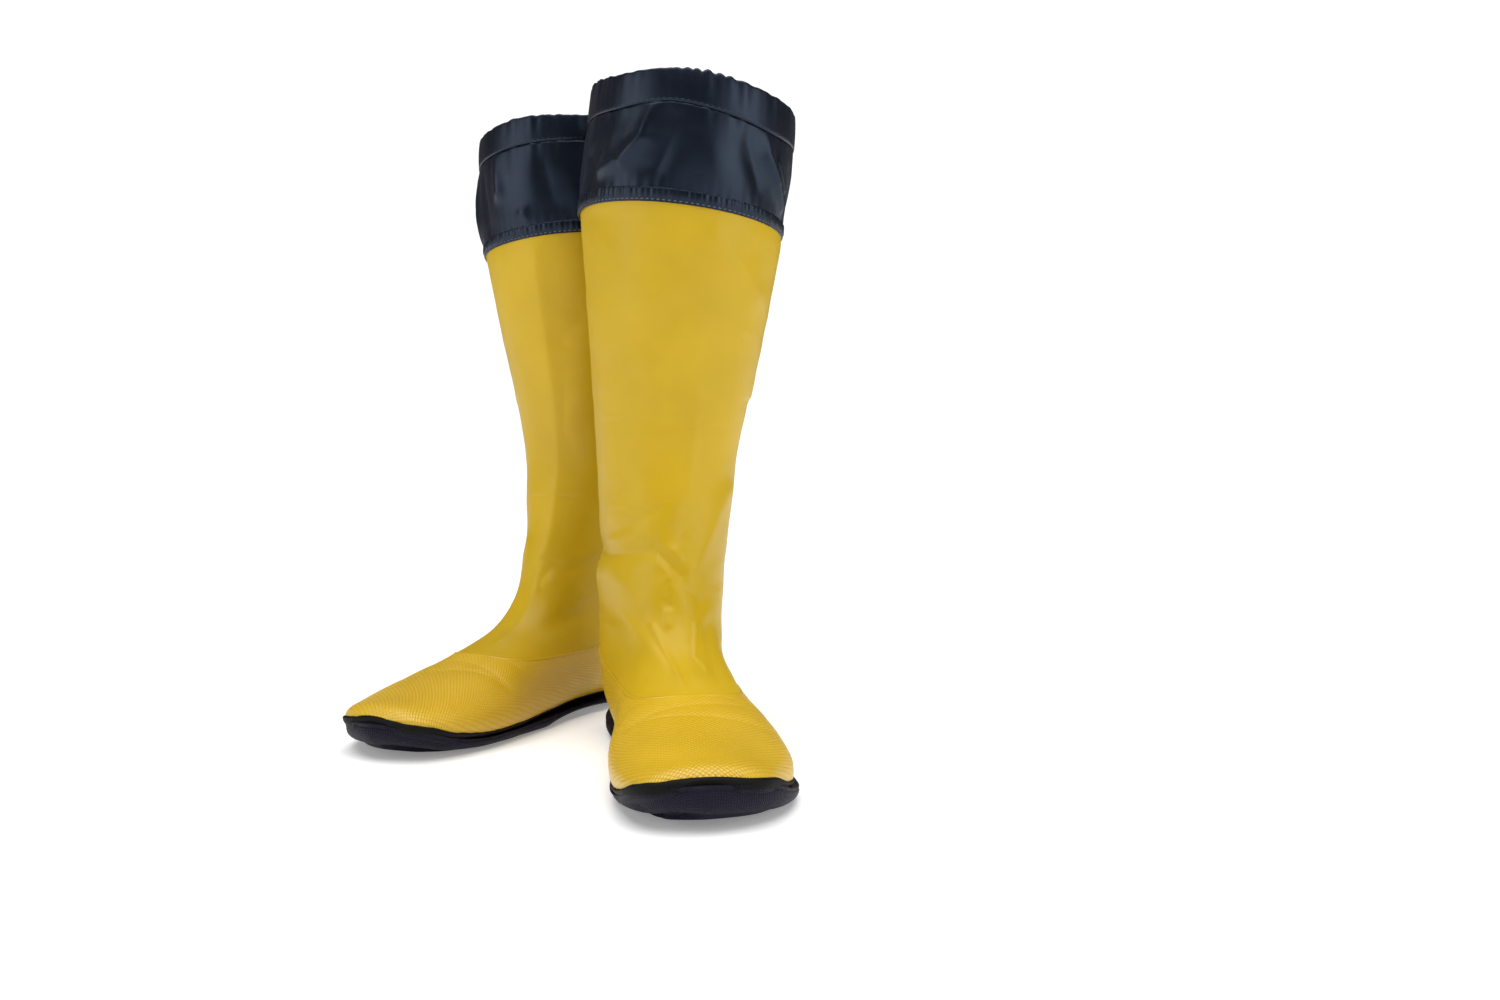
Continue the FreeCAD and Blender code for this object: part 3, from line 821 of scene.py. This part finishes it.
def make_outsole(boot, tree_with_strip):
    """Cup sole: grooved underside, rounded edge, wall with a bead along its top."""
    line, out = sole_line(SOLE_POINTS)
    top = edge_height(boot, SOLE_EDGE, line[:, 0], line[:, 1])
    bottom = sole_bottom(line[:, 1])
    spine = sole_spine(line, 24, 246)
    # the outline draws in at the big toe, and its lower edge is less round beside the small toes
    forefoot = np.clip((line[:, 1] - 145) / 35, 0, 1)
    big_toe = forefoot * np.clip(-(line[:, 0] + 6) / 20, 0, 1)
    small_toes = forefoot - big_toe
    draw_in = (0.3 * small_toes + 3.6 * big_toe) * np.clip((264 - line[:, 1]) / 14, 0, 1)
    line = line - out * draw_in[:, None]
    wide = 1 + ((0.9 - 0.5 * small_toes) * np.clip((line[:, 1] - 180) / 40, 0, 1))[:, None]
    rings = []
    for share in np.linspace(0.02, 1.0, 46):
        flat = spine + (line - out * 8.4 * wide - spine) * share
        groove = tread_depth(flat[:, 0], flat[:, 1]) * np.clip((1 - share) / 0.06, 0, 1)
        groove = groove * np.clip((232 - flat[:, 1]) / 14, 0, 1)
        rings.append(lifted(flat, sole_bottom(flat[:, 1]) + groove))
    tall = top - bottom
    for inset, share in ((6.4, 0.03), (4.6, 0.08), (3.1, 0.15), (1.9, 0.24), (1.0, 0.34), (0.4, 0.45),
                         (0.1, 0.56), (0.0, 0.66), (0.1, 0.74), (0.35, 0.80), (0.65, 0.835),
                         (0.45, 0.87), (0.05, 0.905), (0.0, 0.94), (0.3, 0.98), (1.0, 1.0)):
        undercut = (boot["undercut"] * (1 - share) * big_toe)[:, None]
        edge = line - out * (inset * (wide if share < 0.7 else 1.0) + undercut)
        rings.append(lifted(edge, bottom + tall * share))
    lip = meet_skin(tree_with_strip, line, out, top - 0.3, 4.0)[:, :2]
    rings.append(lifted(lip + out * 0.2, top - 0.1))
    rings.append(lifted(lip - out * 0.6, top - 1.0))
    rings.append(lifted(lip - out * 1.2, np.maximum(top - 4.0, bottom + 2.6)))
    for share in np.linspace(0.85, 0.02, 8):
        flat = spine + (line - out * 12.0 - spine) * share
        rings.append(lifted(flat, sole_bottom(flat[:, 1]) + 2.4))
    rings = np.array(rings)
    uv = surface_uv(rings)
    uv = np.concatenate([uv, uv[:1]], axis=0)
    piece = loop_grid(boot["name"] + "_cup_sole", boot, rings, MATERIALS["navy_rubber"], uv)
    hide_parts(boot["name"] + "_outsole")
    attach(piece, boot["name"] + "_foot")


def make_edge_strip(boot, tree):
    """Black band round the foot, painted on with a slightly uneven edge."""
    line, out = sole_line(SOLE_POINTS)
    low = edge_height(boot, SOLE_EDGE, line[:, 0], line[:, 1]) - 2.5
    turn = np.arange(SOLE_POINTS) * 2 * math.pi / SOLE_POINTS
    uneven = 0.40 * smooth_noise(51 + boot["side"], np.sin(turn) * 9, np.cos(turn) * 9)
    uneven = uneven + 0.22 * smooth_noise(57, np.sin(turn) * 34, np.cos(turn) * 34)
    high = edge_height(boot, STRIP_EDGE, line[:, 0], line[:, 1]) + uneven
    outer = []
    inner = []
    for share in np.linspace(0, 1, 14):
        level = low + (high - low) * share
        base = meet_skin(tree, line, out, level, 10.0)
        thick = STRIP_WALL * (0.35 + 0.65 * min(1.0, (1 - share) / 0.16) ** 0.5)
        outer.append(base + lifted(out, 0.0) * thick)
        inner.append(base + lifted(out, 0.0) * 0.05)
    piece = wall(boot["name"] + "_edge_band", boot, np.array(outer), np.array(inner),
                 MATERIALS["black_rubber"])
    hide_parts(boot["name"] + "_edge_strip")
    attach(piece, boot["name"] + "_foot")


def make_footbed(boot):
    """Footbed with a shallow heel cup and a rolled edge."""
    line, out = sole_line(200)
    tree = skin_tree(boot, -3.6)
    spine = sole_spine(line, 40, 230)
    edge = meet_skin(tree, line, out, np.full(len(line), 12.0), 12.0)[:, :2] - out * 0.6
    low = meet_skin(tree, line, out, np.full(len(line), 9.6), 12.0)[:, :2] - out * 0.6
    rings = [lifted(spine + (low - spine) * share, 9.4) for share in np.linspace(0.02, 0.96, 14)]
    rings += [lifted(low, 9.8), lifted(edge + out * 0.2, 11.4), lifted(edge, 12.2)]
    for share in np.linspace(0.97, 0.02, 18):
        rings.append(lifted(spine + (edge - spine) * share, 12.6 - 1.4 * (1 - share)))
    piece = loop_grid(boot["name"] + "_footbed", boot, np.array(rings), MATERIALS["footbed_foam"])
    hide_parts(boot["name"] + "_insole")
    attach(piece, boot["name"] + "_foot")


# ---------------------------------------------------------------- stitches and welt

def stitch_row(name, boot, points, normals, length, thick, body, material):
    """Thread stitches along a closed row of points, a little proud of the cloth."""
    run = distances(points)
    count = int(run[-1] / (length * 1.45))
    centres = np.arange(count) * run[-1] / count

    def read(values, at):
        closed = np.concatenate([values, values[:1]])
        return np.stack([np.interp(at % run[-1], run, closed[:, axis]) for axis in range(3)], axis=1)

    middle = read(points, centres)
    along = read(points, centres + 0.5) - middle
    along /= np.linalg.norm(along, axis=1, keepdims=True)
    out = read(normals, centres)
    out /= np.linalg.norm(out, axis=1, keepdims=True)
    axes = np.stack([along, np.cross(along, out), out], axis=1)

    # one stitch as (along, aside, out) of the cloth: thinner and lower at its ends
    sides, rounds = 6, 5
    stitch = []
    for position in np.linspace(-1, 1, rounds):
        radius = thick * math.sqrt(max(0.12, 1 - position ** 2 * 0.9))
        rise = thick * (0.5 - 0.8 * position ** 2)
        for turn in np.linspace(0, 2 * math.pi, sides, endpoint=False):
            stitch.append((position * length / 2, radius * math.cos(turn), radius * math.sin(turn) + rise))
    vertices = middle[:, None] + np.array(stitch) @ axes
    stitch_faces = bar_faces(rounds, sides)
    faces = [tuple(number * len(stitch) + corner for corner in face)
             for number in range(count) for face in stitch_faces]
    piece = new_object(name, to_world(boot, vertices).reshape(-1, 3), faces, MATERIALS[material])
    face_outward(piece)
    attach(piece, body)
    return piece


def make_welt(boot):
    """Stitched fold of nylon where the collar is sewn over the leg's top edge."""
    angles = all_round(480)
    pucker = 0.20 * np.sin(angles * 118 + 2 * np.sin(angles * 5)) + 0.16 * np.sin(angles * 47)
    profile = [(-0.040, 0.15), (-0.046, 0.65), (-0.034, 0.95), (-0.018, 0.70), (0.002, 1.0), (0.03, 1.15),
               (0.06, 1.10), (0.09, 0.95), (0.115, 0.70), (0.130, 0.40), (0.120, 0.1), (0.04, 0.05)]
    base = np.stack([skin(boot, COLLAR_SEAM - 0.1, angles), skin(boot, COLLAR_SEAM + 0.1, angles)])
    normal = normals_of(base)[0]
    rings = []
    for rise, proud in profile:
        wobble = pucker * (0.5 if rise < 0.02 else 1.2) * (proud > 0.3)
        rings.append(skin(boot, COLLAR_SEAM + rise, angles) + normal * (proud + wobble)[:, None])
    uv = surface_uv(np.array(rings))
    uv = np.concatenate([uv, uv[:1]], axis=0)
    piece = loop_grid(boot["name"] + "_collar_welt", boot, np.array(rings), MATERIALS["navy_nylon"], uv)
    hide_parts(boot["name"] + "_welt")
    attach(piece, boot["name"] + "_leg")
    row = skin(boot, COLLAR_SEAM - 0.018, angles) + normal * 0.8
    stitch_row(boot["name"] + "_welt_stitches", boot, row, normal, 2.2, 0.34, boot["name"] + "_leg",
               "pale_thread")


# ---------------------------------------------------------------- collar and hem

COLLAR_ROWS = 34
HEM_ROWS = 18
CLOTH_COLUMNS = 300
# The cloth's time to settle, and how much longer than its plain shape it is.
CLOTH_FRAMES = 30
CLOTH_FULLNESS = 0.003
# How far the hem goes down, and the collar's radius and height where its folds are laid out.
COLLAR_TRAVEL = 36.0
COLLAR_RADIUS = 66.0
COLLAR_HEIGHT = 52.0

# How much higher than their plain rings the hem's stitches and its rim hang, by angle in degrees.
STITCH_RISE = {
    "left": [(-180, -11), (-125, -13), (-90, -13), (-50, -12), (-15, -4), (12, -5), (36, -7), (56, -6),
             (80, -3), (110, -8)],
    "right": [(-180, -4), (-100, -5), (-45, -4), (0, 1), (45, 3), (95, 0)],
}
RIM_RISE = {
    "left": [(-180, -7), (-125, -9), (-90, -6), (-50, -8.5), (-15, -1.5), (15, 0.5), (50, 1), (110, -3)],
    "right": [(-180, -3), (-100, -4), (-45, -4), (0, 4), (45, 6.5), (95, 3)],
}

# Broad folds that the collar's cloth starts from, as (from angle, from share of its height, to
# angle, to share, half width in mm, rise in mm).
COLLAR_FOLDS = {
    "left": [(-27, 0.97, -31, 0.62, 5.0, 3.0), (-31, 0.62, -42, 0.36, 5.5, 3.4),
             (-42, 0.36, -60, 0.27, 5.0, 2.8), (-13, 0.80, -22, 0.25, 9.0, -2.0),
             (36, 0.98, 39, 0.72, 4.5, 2.8), (39, 0.72, 48, 0.45, 4.5, 3.2),
             (48, 0.45, 58, 0.20, 4.5, 2.8), (48, 0.72, 58, 0.42, 3.0, 1.8),
             (24, 0.85, 34, 0.30, 8.0, -2.0), (68, 0.70, 80, 0.20, 6.0, -2.0),
             (-58, 0.85, -74, 0.50, 8.0, -2.0), (4, 0.60, 8, 0.10, 10.0, 1.0)],
    "right": [(48, 0.90, 44, 0.15, 5.0, 2.4), (14, 1.00, 10, 0.55, 5.0, 2.6),
              (30, 0.80, 26, 0.15, 7.0, -2.0), (66, 0.85, 58, 0.20, 6.0, -1.8),
              (-6, 0.20, -8, 0.12, 4.0, 2.2), (-20, 0.80, -26, 0.25, 8.0, -1.6),
              (-50, 0.80, -58, 0.20, 7.0, 2.0)],
}


def round_table(table, angle):
    """A smooth closed curve through (degrees, value) points, read at angles in radians."""
    degrees = np.array([row[0] for row in table], float)
    values = np.array([row[1] for row in table], float)
    spaced = np.interp(np.arange(-180, 180, 3), np.append(degrees, 180), np.append(values, values[0]))
    window = np.exp(-(np.arange(-8, 9) * 3 / 11.0) ** 2)
    padded = np.concatenate([spaced[-8:], spaced, spaced[:8]])
    soft = np.convolve(padded, window / window.sum(), mode="valid")
    return np.interp(np.degrees(angle), np.arange(-180, 183, 3), np.append(soft, soft[0]))


def collar_grid(boot, places, angles):
    """Plain points of the collar and the hem, hung at their real heights."""
    points = skin(boot, places, angles)
    stitch = round_table(STITCH_RISE[boot["name"]], angles)
    rim = round_table(RIM_RISE[boot["name"]], angles)
    stitch_share = np.clip((places - COLLAR_SEAM) / (HEM_BOTTOM - COLLAR_SEAM), 0, 1) ** 1.5
    rim_share = np.clip((places - HEM_BOTTOM) / (RIM - HEM_BOTTOM), 0, 1)
    points[..., 2] += stitch * stitch_share * (1 - rim_share) + rim * rim_share
    return points


def gathers(boot, angles, strength):
    """In and out ripple of cloth that an elastic or a seam gathers."""
    seed = 83 + boot["side"]
    turn_a = np.sin(angles * 3 + seed) * 2.2
    turn_b = np.sin(angles * 5 + seed) * 1.7
    ripple = 0.60 * np.sin(angles * 34 + turn_a) + 0.40 * np.sin(angles * 55 + turn_b)
    return strength * ripple * (0.75 + 0.35 * np.sin(angles * 4 + seed))


def collar_start(boot, angles):
    """The collar's cloth before it is let go: plain, with its broad folds."""
    share = np.linspace(0, 1, COLLAR_ROWS)[:, None]
    place = COLLAR_SEAM + 0.01 + (HEM_BOTTOM - COLLAR_SEAM - 0.01) * share
    points = collar_grid(boot, place, angles[None, :])
    normal = normals_of(points)
    wide = np.broadcast_to(angles[None, :], points.shape[:2])
    free = np.sin(math.pi * share) ** 0.7
    relief = 0.5 * smooth_noise(71 + boot["side"], np.sin(wide) * 4, np.cos(wide) * 4, share * 2) * free
    degree = COLLAR_RADIUS * math.radians(1)
    folds = [(turn0 * degree, share0 * COLLAR_HEIGHT, turn1 * degree, share1 * COLLAR_HEIGHT, width, rise)
             for turn0, share0, turn1, share1, width, rise in COLLAR_FOLDS[boot["name"]]]
    tall = np.broadcast_to(share * COLLAR_HEIGHT, wide.shape)
    relief = relief + 1.25 * free * joined_ridges(np.degrees(wide) * degree, tall, folds)
    return points + normal * relief[..., None]


def let_go(boot, points):
    """The collar's cloth after it has hung between its seam and its hem for a moment."""
    rows, columns = points.shape[:2]
    made = new_object("cloth_in_work", to_world(boot, points).reshape(-1, 3), grid_faces(rows, columns))
    pinned = made.vertex_groups.new(name="sewn")
    rows_held = [0, 1, rows - 2, rows - 1]
    pinned.add([row * columns + column for row in rows_held for column in range(columns)], 1.0, "REPLACE")
    cloth = made.modifiers.new("cloth", "CLOTH")
    settings = cloth.settings
    settings.vertex_group_mass = "sewn"
    settings.quality = 7
    settings.mass = 0.02
    settings.tension_stiffness = 25
    settings.compression_stiffness = 25
    settings.shear_stiffness = 10
    settings.bending_stiffness = 0.8
    settings.air_damping = 2.0
    settings.shrink_min = -CLOTH_FULLNESS
    settings.effector_weights.gravity = 0.4
    cloth.collision_settings.use_collision = False
    cloth.point_cache.frame_start = 1
    cloth.point_cache.frame_end = CLOTH_FRAMES
    for moment in range(1, CLOTH_FRAMES + 1):
        bpy.context.scene.frame_set(moment)
    graph = bpy.context.evaluated_depsgraph_get()
    mesh = made.evaluated_get(graph).to_mesh()
    flat = np.empty(len(mesh.vertices) * 3)
    mesh.vertices.foreach_get("co", flat)
    settled = flat.reshape(rows, columns, 3) / MM
    bpy.data.objects.remove(made, do_unlink=True)
    bpy.context.scene.frame_set(1)
    away = settled[..., :2] - boot["heel"]
    return np.stack([away @ boot["outer"], away @ boot["toe"], settled[..., 2]], axis=-1)


def soften(start, settled):
    """Settled cloth with its finest wrinkles evened out, measured from where it started."""
    moved = settled - start
    for _ in range(10):
        moved = (np.roll(moved, 1, axis=1) + 2 * moved + np.roll(moved, -1, axis=1)) / 4
        moved[1:-1] = (moved[:-2] + 2 * moved[1:-1] + moved[2:]) / 4
    return start + moved


def pucker_seams(boot, points, angles):
    """The small puckers that sewing leaves above the collar's seam and below its hem."""
    share = np.linspace(0, 1, len(points))[:, None]
    wide = np.broadcast_to(angles[None, :], points.shape[:2])
    sewn = 0.40 * np.sin(wide * 60 + 3 * np.sin(wide * 4)) * np.exp(-share / 0.09)
    top = gathers(boot, wide, 0.35) * np.exp(-(1 - share) / 0.12)
    tucked = 0.35 * np.clip((share - 0.72) / 0.14, 0, 1)
    return points + normals_of(points) * (sewn + top - tucked)[..., None]


def make_hem(boot, angles):
    """The hem: tunnel, elastic and stitches. Returns tunnel, stitches and the tunnel's lowest row."""
    name = boot["name"]
    share = np.linspace(0, 1, HEM_ROWS)[:, None]
    place = HEM_BOTTOM + (RIM - HEM_BOTTOM) * share
    middle = collar_grid(boot, place, angles[None, :])
    out = normals_of(middle)
    wide = np.broadcast_to(angles[None, :], middle.shape[:2])
    uneven = smooth_noise(91 + boot["side"], np.sin(wide) * 5, np.cos(wide) * 5, share)
    ripple = gathers(boot, wide, 0.45) * share + 0.9 * share * uneven
    middle = middle + out * ripple[..., None]
    bunched = bell(turn_from(wide, 0.02), 0.0, 0.26) if name == "left" else 0.08
    scallop = np.abs(np.sin(wide * 34 + 0.6)) * bunched * 1.8 + 0.25 * gathers(boot, wide, 1.0)
    middle[..., 2] += scallop * share ** 3
    full = np.sqrt(np.clip(np.sin(math.pi * share), 0, 1))
    thick = (0.12 + 0.6 * full)[..., None]
    hem = wall(name + "_hem_tunnel", boot, middle + out * thick, middle - out * thick,
               MATERIALS["navy_nylon"])
    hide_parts(name + "_hem")
    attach(hem, name + "_hem")

    inside = slice(HEM_ROWS // 4, 3 * HEM_ROWS // 4)
    elastic = wall(name + "_elastic_loop", boot, middle[inside] + out[inside] * 0.4,
                   middle[inside] - out[inside] * 0.4, MATERIALS["elastic_web"])
    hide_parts(name + "_elastic")
    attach(elastic, name + "_hem")
    stitches = stitch_row(name + "_hem_stitches", boot, middle[1] + out[1] * 0.30, out[1], 2.4, 0.20,
                          name + "_hem", "thread")
    return hem, stitches, middle[0]


def make_hem_allowance(boot, angles, rise, upward):
    """The hem's seam allowance inside the collar; with the hem pushed down it ends over the seam."""
    name = boot["name"]
    landed = 2.0 / rise + np.linspace(0, 1, 8)[:, None] * (1.06 - (COLLAR_TRAVEL + 2.0) / rise)
    landed = COLLAR_SEAM + (HEM_BOTTOM - COLLAR_SEAM) * landed
    inner = collar_grid(boot, landed, angles[None, :])
    inner = inner - normals_of(inner) * 4.0 + upward * COLLAR_TRAVEL
    allowance = wall(name + "_hem_allowance", boot, inner, inner - normals_of(inner) * NYLON_CLOTH,
                     MATERIALS["navy_nylon"])
    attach(allowance, name + "_hem")
    return allowance


def make_collar(boot):
    """The loose nylon collar with its hem and the hem's seam allowance."""
    name = boot["name"]
    angles = all_round(CLOTH_COLUMNS)
    points = collar_start(boot, angles)
    points = soften(points, let_go(boot, points))
    points = pucker_seams(boot, points, angles)
    normal = normals_of(points)
    half_wall = normal * NYLON_CLOTH / 2
    collar = wall(name + "_collar_cloth", boot, points + half_wall, points - half_wall,
                  MATERIALS["navy_nylon"])
    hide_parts(name + "_collar")
    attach(collar, name + "_leg")
    hem, stitches, hem_bottom = make_hem(boot, angles)

    joint = named_joint(name + "_collar_push_down")
    axis = np.array(joint["axis"])
    upward = np.array([axis[:2] @ boot["outer"], axis[:2] @ boot["toe"], axis[2]])
    rise = (hem_bottom - points[0]) @ upward
    allowance = make_hem_allowance(boot, angles, rise, upward)
    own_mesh(collar)


# ---------------------------------------------------------------- boots, floor, light, camera

def make_boot(boot):
    """All pieces of one boot."""
    tree = skin_tree(boot, 0.35)
    tree_with_strip = skin_tree(boot, STRIP_WALL + 0.35)
    make_leg(boot)
    make_back_seam(boot)
    make_lining(boot)
    make_foot(boot)
    make_foot_seam(boot)
    make_outsole(boot, tree_with_strip)
    make_edge_strip(boot, tree)
    make_footbed(boot)
    make_welt(boot)
    make_collar(boot)


def make_floor():
    """Plain pale floor."""
    half = 6.0
    floor = new_object("floor", [(-half, -half, 0), (half, -half, 0), (half, half, 0), (-half, half, 0)],
                       [(0, 1, 2, 3)], MATERIALS["pale_floor"])


def make_light(name, place, target, size, power):
    """A soft square light that looks at a point."""
    data = bpy.data.lights.new(name, "AREA")
    data.shape = "SQUARE"
    data.size = size
    data.energy = power
    light = bpy.data.objects.new(name, data)
    light.location = place
    light.rotation_euler = (Vector(target) - Vector(place)).to_track_quat("-Z", "Y").to_euler()
    bpy.context.scene.collection.objects.link(light)


def make_lights():
    """Plain soft studio light: a wide soft light overhead, two side lights and a pale room."""
    target = (0.0, 0.0, 0.2)
    make_light("side_left", (-1.5, -0.7, 0.7), target, 1.1, 9.5)
    make_light("side_right", (1.6, -0.8, 0.7), target, 1.1, 11.5)
    data = bpy.data.lights.new("overhead", "SUN")
    data.energy = 3.35
    data.angle = math.radians(70)
    overhead = bpy.data.objects.new("overhead", data)
    overhead.rotation_euler = (math.radians(7), 0, 0)
    bpy.context.scene.collection.objects.link(overhead)
    world = bpy.data.worlds.new("room")
    world.use_nodes = True
    background = world.node_tree.nodes["Background"]
    background.inputs["Color"].default_value = (1.0, 1.0, 1.0, 1)
    seen = add_node(world.node_tree, "ShaderNodeLightPath").outputs["Is Camera Ray"]
    world.node_tree.links.new(mapped(world.node_tree, seen, 0.0, 1.0, 0.10, 1.1),
                              background.inputs["Strength"])
    bpy.context.scene.world = world
    bpy.context.scene.view_settings.view_transform = "Standard"


# The camera stands level, a little below half the boots' height; its picture is shifted, not tilted.
CAMERA_PLACE = (0.10585, -0.81687, 0.183)
CAMERA_LENS = 32.4
CAMERA_SHIFT = -0.04


def make_camera():
    """The camera that sees the boots from in front."""
    data = bpy.data.cameras.new("camera")
    data.sensor_width = 36.0
    data.lens = CAMERA_LENS
    data.shift_y = CAMERA_SHIFT
    camera = bpy.data.objects.new("camera", data)
    camera.location = CAMERA_PLACE
    camera.rotation_euler = (math.radians(90), 0, 0)
    bpy.context.scene.collection.objects.link(camera)
    bpy.context.scene.camera = camera


make_camera()
make_floor()
make_lights()
for each_boot in BOOTS:
    make_boot(each_boot)
